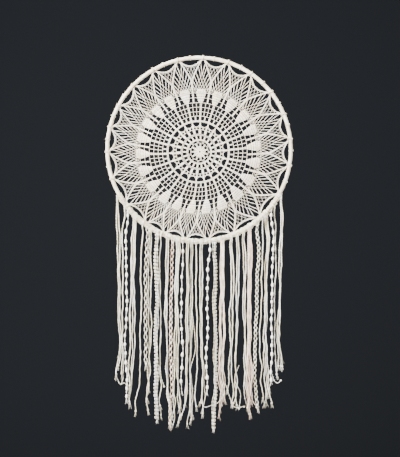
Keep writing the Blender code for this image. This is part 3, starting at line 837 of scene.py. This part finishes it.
ROOT_FRONT = (-0.0012, (0.0, -0.0060, 0.0))         # a strand starts at its knot's front, ...
ROOT_OVER = (0.0046, (0.0, -0.0055, -0.0010))       # ... goes over it below the hoop, ...
BEND_DROP, FALL_DROP = 0.0060, 0.008                # ... bends down and then hangs free
STRAND_PLACES = 44            # places along a strand that hangs free
FOOT_SPREAD = 0.026           # a bundle's shorter strands end up to this much higher
STRAND_WAVES = ((0.0008, 3.0), (0.0005, 7.0), (0.0003, 17.0))   # size and number of its waves
YARN = 0.0028                 # width of the main yarn of a strand
PARTNER, PARTNER_BACK = 0.0018, 0.0012      # the thin yarn behind it, and how far back it is
PARTNER_SHARE = 0.6           # how many of the strands have one
RIBBON_YARN, RIBBON_PITCH = 0.0018, 0.0019
YARN_STEP = 0.0026            # between places along a yarn
BAND_STEP = 0.0030            # ... and along a band or a bead strand
STRAY_FROM = 0.62             # share of the way down from which the yarns part ...
STRAY = 0.0056                # ... and how far they may stray ...
EDGE_STRAY = 0.4              # ... of which the yarns at the fringe's edges have this share
YARN_SWAY, SIDE_SWAY, DEEP_SWAY = 0.0003, 0.0009, 0.0012    # at the top, and what comes lower down
YARN_FOLD, BAND_FOLD = (0.20, 0.085), (0.30, 0.12)          # how a flat strand turns edge-on
YARN_CURL = (0.45, 0.070)
CORD_WAVES = ((0.55, 0.13), (0.30, 0.055), (0.15, 0.024))   # share and length of each wave
BAND_WAVES = ((0.5, 0.11), (0.3, 0.047), (0.2, 0.021))
THREAD_FRONT = -0.0068        # the loose threads cross in front of the strands
LOOSE_THREADS = {             # thin threads that cross from strand to strand: (x, z) along each
    "cords_left_edge": ((-.1735, -.690), (-.1690, -.700), (-.1600, -.698), (-.1530, -.703)),
    "cord_left_lace": ((-.0830, -.660), (-.0810, -.685), (-.0745, -.705)),
    "cords_middle_wavy": (
        (-.0150, -.545), (-.0090, -.600), (-.0085, -.630), (-.0185, -.668), (-.0190, -.700)),
    "cords_middle_right": (
        (.0030, -.735), (.0110, -.749), (.0250, -.746), (.0400, -.740), (.0530, -.722)),
    "cords_right_inner": ((.0560, -.700), (.0700, -.741), (.0790, -.750), (.0960, -.748)),
    "cords_right_wavy": ((.0850, -.660), (.0760, -.690), (.0880, -.720), (.0850, -.752)),
    "ribbon_right_wide": ((.1080, -.700), (.1130, -.733), (.1240, -.750)),
    "beads_right_edge": ((.1560, -.680), (.1600, -.693), (.1680, -.698), (.1740, -.692)),
}


def root_angle(bundle):
    """Angle on the hoop from which a bundle hangs."""
    return 180.0 - math.degrees(math.asin(bundle.top_x / (RING_LINE + ROOT_BEND)))


def knot_spans():
    """Start and end angle of every bundle's knots, between the lashings."""
    stops = [FRINGE_START] + [a for a in TIE_ANGLES if FRINGE_START < a < FRINGE_END] + [FRINGE_END]
    spans = {}
    for start, end in zip(stops, stops[1:]):
        group = sorted((b for b in BUNDLES if start <= root_angle(b) < end), key=root_angle)
        edges = [start + TIE_ROOM]
        edges += [(root_angle(a) + root_angle(b)) / 2.0 for a, b in zip(group, group[1:])]
        edges.append(end - TIE_ROOM)
        for bundle, low, high in zip(group, edges, edges[1:]):
            spans[bundle.name] = (low, high)
    return spans


def bundle_knots(bundle, span, chance):
    """Cord looped round the hoop over the whole of the bundle's span, with bars across it."""
    length = math.radians(span[1] - span[0]) * RING_LINE
    count = max(3, round(length / KNOT_PITCH))
    width = length / count * LOOP_FILL
    thicker = KNOT_STRAND * bundle.strands
    parts = []
    for index in range(count):
        middle = span[0] + (span[1] - span[0]) * (index + 0.5) / count
        tilt = chance.uniform(0.1, 0.8) * (1.0 if index % 3 else -0.6)
        swell = KNOT_SWELL * math.sin(math.pi * (index + 0.5) / count)
        radius = KNOT_RADIUS + thicker + swell + chance.uniform(-0.0007, 0.0012)
        around = np.linspace(0.0, 360.0, LOOP_STEPS + 1)[:-1]
        angle = middle + tilt * np.sin(np.radians(around))
        line = ring_place(angle, around, radius * (1.0 + LOOP_OUT * np.cos(np.radians(around))))
        parts.append(lay_cord(line, width * chance.uniform(0.78, 1.12), 3, LOOP_LAY, closed=True,
                              start_turn=chance.uniform(0, 6)))
    reach = (span[1] - span[0]) * 0.40 - 0.1
    angle = (span[0] + span[1]) / 2.0 + np.linspace(-reach, reach, 5)
    for middle, bow in KNOT_BARS:
        around = middle + bow * np.array((-13.0, 2.0, 6.0, 2.0, -13.0)) + chance.uniform(-7, 7)
        line = ring_place(angle, around, BAR_RADIUS + thicker
                          + np.array((-.0016, 0.0, .0003, 0.0, -.0016)))
        parts.append(lay_cord(smooth_line(line, BAR_STEP), BAR_WIDTH, 2, BAR_LAY))
    return parts


def line_across(bundle, share):
    """Where the bundle's line is across, at shares of the way down."""
    places = (bundle.top_x, bundle.mid_x, bundle.low_x, bundle.foot_x)
    across = np.full(len(share), places[-1])
    for start, end, low, high in reversed(list(zip(
            places, places[1:], LINE_TURNS, LINE_TURNS[1:]))):
        part = start + (end - start) * smooth_step((share - low) / (high - low))
        across = np.where(share <= high, part, across)
    return across


def strand_line(bundle, span, order, layer, chance):
    """The soft line of one strand, from the front of its knot to its foot."""
    wavy = bundle.form == "wavy"
    place = order - (bundle.strands - 1) / 2.0
    length_round = math.radians(span[1] - span[0]) * RING_LINE
    root_pitch = min(ROOT_PITCH, length_round / bundle.strands)
    room = math.degrees(root_pitch * bundle.strands / 2.0 / RING_LINE)
    angle = min(max(root_angle(bundle), span[0] + room), span[1] - room)
    if bundle is BUNDLES[0]:
        angle = span[1] - EDGE_ROOT
    elif bundle is BUNDLES[-1]:
        angle = span[0] + EDGE_ROOT
    out = outward(angle - math.degrees(place * root_pitch / RING_LINE))
    front, over = (HOOP_CENTRE + out * (RING_LINE + away) + np.array(shift)
                   for away, shift in (ROOT_FRONT, ROOT_OVER))
    bend = over + np.array((0.0, min(layer, -0.0030) * 0.3 + 0.0015, -BEND_DROP))
    top_z = bend[2] - FALL_DROP
    foot = bundle.foot_z + (chance.uniform(0.0, FOOT_SPREAD) if bundle.strands > 1 else 0.0)
    share = np.linspace(0.0, 1.0, STRAND_PLACES)
    z = top_z + (foot - top_z) * share
    x, y = line_across(bundle, share), np.full(len(share), layer)
    # The strands draw together and part again on the way down, and pass behind one another.
    apart = (place + chance.uniform(-0.16, 0.16)) * bundle.pitch
    apart *= (0.80 + 0.26 * np.sin(share * 8.0 + bundle.top_x * 70.0)
              + 0.10 * np.sin(share * 23.0 + 4.0 * place))
    if bundle.strands > 1:
        swap = chance.uniform(-0.5, 0.5) + (order * 0.9 if wavy else 0.0)
        swap = swap * math.pi * smooth_step(share / 0.9) * (1.0 if wavy else 0.45)
        x += apart * np.cos(swap)
        y += np.abs(apart) * np.sin(swap) * 0.7
    # They come from under the knot to their own line, and sway a little.
    x += (bend[0] - x[0]) * (1.0 - smooth_step(share / 0.10))
    x += 0.0009 * np.sin((z / 0.17 + bundle.top_x * 30.0) * 2.0 * math.pi)
    y += 0.0010 * np.sin(share * 9.0 + chance.uniform(0.0, 6.0))
    for size, count in STRAND_WAVES:
        phase = chance.uniform(0.0, 6.0)
        x += size * np.sin(share * count * 2.0 * math.pi + phase) * smooth_step(share * 4.0)
    return [front, over, bend] + [np.array(p) for p in zip(x, y, z)]


def end_way(line):
    """The direction in which a line ends."""
    way = line[-1] - line[-4]
    return way / np.linalg.norm(way)


def frayed_end(point, way, width, chance, long=0.012, count=7):
    """Loose fibres that spread from a cord's cut end."""
    across = math.atan2(way[2], way[0]) + math.pi / 2
    side = np.array((math.cos(across), 0.0, math.sin(across)))
    parts = []
    for _ in range(count):
        spread, deep = chance.uniform(-0.42, 0.42), chance.uniform(-0.25, 0.25)
        length = long * chance.uniform(0.6, 1.0)
        aim = way + side * spread + np.array((0.0, deep, 0.0))
        start = point + side * spread * width * 0.5 - way * 0.001
        line = smooth_line([start, start + aim * length * 0.5,
                            start + (aim + np.array((0, 0, -0.25))) * length], length / 3.0)
        parts.append(lay_cord(line, width * 0.30, 2, 0.01, taper=np.linspace(1.0, 0.35, len(line))))
    return parts


def end_knot(point, way, width):
    """A small overhand knot near a cord's end."""
    turn = np.linspace(0.0, 2.0 * math.pi, 11)[:-1]
    side = np.array((-way[2], 0.0, way[0]))
    deep = np.array((0.0, 1.0, 0.0))
    line = (point + side * (np.cos(turn) * width * 0.50)[:, None]
            + deep * (np.sin(turn) * width * 0.50)[:, None]
            + way * (np.sin(turn) * width * 0.35)[:, None])
    return [lay_cord(loop, width * 0.85, 2, 0.006, closed=True)
            for loop in (line, line + way * width * 0.55)]


def spaced(line, pitch):
    """Places along a line at an even pitch."""
    travelled = distances(line)
    stops = np.arange(0.0, travelled[-1], pitch)
    return np.stack([np.interp(stops, travelled, line[:, axis]) for axis in range(3)], axis=1)


def sideways(line, amount):
    """The line moved across by an amount, in the plane it hangs in."""
    ways = directions(line)
    across = np.stack([-ways[:, 2], np.zeros(len(ways)), ways[:, 0]], axis=1)
    return line + across * np.reshape(amount, (-1, 1))


def waves(travelled, chance, *parts):
    """Waves along a line, each given by its size and its length and each in its own phase."""
    return sum(size * np.sin(travelled / wave * 2.0 * math.pi + chance.uniform(0.0, 6.0))
               for size, wave in parts)


def wander(line, size, chance):
    """The line swaying sideways a little, in its own way."""
    sway = waves(distances(line), chance, *BAND_WAVES)
    moved = sideways(line, size * sway)
    moved[:, 1] += size * 0.8 * np.roll(sway, 7)
    return moved


def yarn_bunch(line, count, width, pitch, far, chance):
    """Yarns hanging side by side as one strand: close at the top, each its own way lower down."""
    fine = smooth_line(line, YARN_STEP)
    travelled = distances(fine)
    share = travelled / travelled[-1]
    loose = smooth_step((share - 0.30) / 0.5)
    stray = smooth_step((share - STRAY_FROM) / (1.0 - STRAY_FROM))
    fold = 1.0 - YARN_FOLD[0] + waves(travelled, chance, YARN_FOLD)
    yarns = [(index - (count - 1) / 2.0, width * chance.uniform(0.88, 1.10), 0.0)
             for index in range(count)]
    if chance.random() < PARTNER_SHARE:
        yarns.append((chance.uniform(-0.3, 0.3), PARTNER, 1.0))
    parts = []
    for place, thick, hidden in yarns:
        sway = waves(travelled, chance, *CORD_WAVES)
        curl = (chance.uniform(0.35, 1.0) * chance.choice((-1.0, 1.0))
                + waves(travelled, chance, YARN_CURL))
        yarn = sideways(fine, place * pitch * fold + (YARN_SWAY + SIDE_SWAY * loose) * sway
                        + far * stray * curl)
        yarn[:, 1] += ((YARN_SWAY + DEEP_SWAY * loose) * np.roll(sway, 9) + PARTNER_BACK * hidden
                       + 0.0015 * stray * place)
        shorter = int(chance.uniform(0.0, 0.026 + 0.008 * count) / YARN_STEP)
        yarn = yarn[:len(yarn) - shorter]
        slim = 1.0 - 0.24 * smooth_step((share[:len(yarn)] - 0.35) / 0.4)
        way = end_way(yarn)
        parts.append(lay_cord(yarn, thick, 3, chance.uniform(0.014, 0.020),
                              start_turn=chance.uniform(0, 6), taper=slim))
        parts += end_knot(yarn[-1] - way * 0.003, way, thick * 0.85)
        parts += frayed_end(yarn[-1], way, thick * 1.1, chance, 0.009, 6)
    return parts


def loop_chain(line, step, cord, swing, bobble):
    """Two cords that part and meet again, held by a small knot at each meeting."""
    travelled = distances(line)
    parting = np.sin(travelled / step * math.pi)
    parts = []
    for side in (-1.0, 1.0):
        half = sideways(line, side * swing * parting)
        half[:, 1] += side * 0.0009 * np.cos(travelled / step * math.pi)
        parts.append(lay_cord(half, cord, 2, CHAIN_LAY))
    stops = spaced(line, step)[1:]
    size = cord * 0.9
    parts.append(copies(bobble, stops + np.array((0, -0.0004, size)),
                        stops - np.array((0, 0.0004, size)), cord * 2.1))
    return parts


def picot_band(link, line, width, side, chance):
    """A narrow crocheted lace: fine cords side by side, with small open loops along one edge."""
    fold = 1.0 - BAND_FOLD[0] + waves(distances(line), chance, BAND_FOLD)
    core = sideways(line, -side * width * 0.18)
    parts = []
    for place in BAND_CORDS:
        cord = wander(sideways(core, width * place * fold), 0.0011, chance)
        parts.append(lay_cord(cord, width * BAND_CORD, 2, BAND_LAY))
    inner = spaced(core, PICOT_PITCH) + np.array((side * width * 0.18, -0.0004, 0.0))
    outer = inner + np.array((side * width * 0.38, 0.0, -0.0012))
    parts.append(copies(link, inner, outer, PICOT_WIDTH, deep=PICOT_DEEP))
    return parts


def bead_strand(line, width, pitch, bobble, chance):
    """A thin cord with soft bobbles along it."""
    parts = [lay_cord(line, BEAD_CORD, 2, BEAD_LAY)]
    stops = spaced(line, pitch)[1:]
    long = np.array([[0.0, 0.0, chance.uniform(0.0042, 0.0056)] for _ in stops])
    shift = np.array([[0.0, 0.0, chance.uniform(-0.0015, 0.0015)] for _ in stops])
    sizes = [width * chance.uniform(1.00, 1.22) for _ in stops]
    parts.append(copies(bobble, stops + shift + long, stops + shift - long, sizes))
    return parts


def make_strand(bundle, line, tools, chance):
    """One strand of the fringe along its line, in the bundle's own form."""
    link, bobble = tools
    end = (line[-1], end_way(line))
    if bundle.name in LOOPS:
        parts = loop_chain(smooth_line(line, CHAIN_STEP), *LOOPS[bundle.name], bobble)
        return parts + frayed_end(*end, 0.004, chance)
    if bundle.name in BANDS:
        width = BANDS[bundle.name]
        side = 1.0 if bundle.top_x > 0.0 else -1.0
        parts = picot_band(link, smooth_line(line, BAND_STEP), width, side, chance)
        return parts + frayed_end(*end, width * 0.5, chance, 0.008)
    if bundle.name in BEADS:
        parts = bead_strand(smooth_line(line, BAND_STEP), *BEADS[bundle.name], bobble, chance)
        return parts + frayed_end(*end, 0.003, chance, 0.008)
    if bundle.form == "ribbon":
        return yarn_bunch(line, 3, RIBBON_YARN, RIBBON_PITCH, STRAY, chance)
    far = STRAY * (EDGE_STRAY if "edge" in bundle.name else 1.0)
    return yarn_bunch(line, 1, YARN, YARN, far, chance)


def make_fringe(materials):
    """Every bundle's strands, each bundle a piece of its own, and the knots they hang from."""
    spans = knot_spans()
    tools = (model_chain_link(), model_bobble())
    knots = []
    for index, bundle in enumerate(BUNDLES):
        chance = random.Random(bundle.name)
        layer = FRONT_LAYER if index % 2 else BACK_LAYER
        knots += bundle_knots(bundle, spans[bundle.name], chance)
        parts = []
        for order in range(bundle.strands):
            line = strand_line(bundle, spans[bundle.name], order, layer, chance)
            parts += make_strand(bundle, smooth_line(line, 0.008), tools, chance)
        if bundle.name in LOOSE_THREADS:
            stops = [(x, THREAD_FRONT, z) for x, z in LOOSE_THREADS[bundle.name]]
            thread = smooth_line(stops, 0.0024)
            parts.append(lay_cord(thread, 0.0015, 2, 0.013))
            parts += end_knot(thread[-1], np.array((0.0, 0.0, -1.0)), 0.0022)
        slot = SLOTS[bundle.form]
        piece = new_piece(f"fringe_{bundle.name}", *join_parts(parts), materials[slot], 75.0)
        settle(piece, slot, bundle.name)
    piece = new_piece("fringe_knots", *join_parts(knots), materials["knot"], 75.0)
    settle(piece, "cotton")


# ---- Room, light and camera -----------------------------------------------------------------
FLOOR_LEVEL, WALL_AWAY, ROOM_SIZE = -1.65, 3.2, 14.0
VIEW_MIDDLE = (0.0019, -0.3689)
VIEW_HEIGHT = 0.9766
VIEW_DISTANCE = 2.2
SENSOR = 24.0                 # height of the camera's sensor, in millimetres
LIGHTS = (                    # name, place, aim, size, power and colour
    ("key", (-1.3, -1.5, 1.0), (0.0, 0.0, -0.30), 0.55, 475.0, (1.0, 0.978, 0.932)),
    ("fill", (1.6, -2.0, -0.1), (0.0, 0.0, -0.45), 1.6, 48.0, (0.99, 0.985, 0.97)),
    ("back", (0.3, 2.0, 0.9), (0.0, 0.0, -0.35), 1.2, 70.0, (1.0, 1.0, 1.0)),
)
AIR = (0.075, 0.08, 0.09, 1.0)      # the dim light from all round


def add_plane(name, place, turn, colour, roughness, shine):
    """A large plain surface of the room."""
    clear_selection()
    bpy.ops.mesh.primitive_plane_add(size=ROOM_SIZE, location=place, rotation=(turn, 0.0, 0.0))
    plane = bpy.context.object
    plane.name = name
    material = bpy.data.materials.new("plain_" + name)
    material.use_nodes = True
    shader = material.node_tree.nodes["Principled BSDF"]
    shader.inputs["Base Color"].default_value = (*colour, 1.0)
    shader.inputs["Roughness"].default_value = roughness
    shader.inputs["Specular IOR Level"].default_value = shine
    plane.data.materials.append(material)


def make_room():
    """A plain pale floor well below the hanging piece, and a plain dark wall far behind it."""
    add_plane("floor", (0.0, 0.0, FLOOR_LEVEL), 0.0, (0.62, 0.61, 0.59), 0.8, 0.5)
    add_plane("backdrop", (0.0, WALL_AWAY, 2.0), math.pi / 2, (0.012, 0.0135, 0.0165), 1.0, 0.0)


def add_light(name, place, aim, size, power, colour):
    """A large soft square light turned towards a place."""
    data = bpy.data.lights.new(name, "AREA")
    data.size = size
    data.energy = power
    data.color = colour
    light = bpy.data.objects.new(name, data)
    bpy.context.collection.objects.link(light)
    light.location = place
    x, y, z = np.array(aim, float) - np.array(place, float)
    light.rotation_euler = (math.atan2(math.hypot(x, y), -z), 0.0, -math.atan2(x, y))


def make_lights():
    for light in LIGHTS:
        add_light(*light)
    world = bpy.data.worlds.new("studio")
    bpy.context.scene.world = world
    world.use_nodes = True
    air = world.node_tree.nodes["Background"]
    air.inputs["Color"].default_value = AIR
    air.inputs["Strength"].default_value = 1.0


def make_camera():
    data = bpy.data.cameras.new("camera")
    data.sensor_fit = "VERTICAL"
    data.sensor_height = SENSOR
    data.lens = SENSOR * VIEW_DISTANCE / VIEW_HEIGHT
    camera = bpy.data.objects.new("camera", data)
    bpy.context.collection.objects.link(camera)
    camera.location = (VIEW_MIDDLE[0], -VIEW_DISTANCE, VIEW_MIDDLE[1])
    camera.rotation_euler = (math.pi / 2, 0.0, 0.0)
    bpy.context.scene.camera = camera


make_camera()
make_room()
make_lights()
yarns = make_materials()
make_hoop(yarns)
make_lashings(yarns)
make_lace(yarns)
make_fringe(yarns)
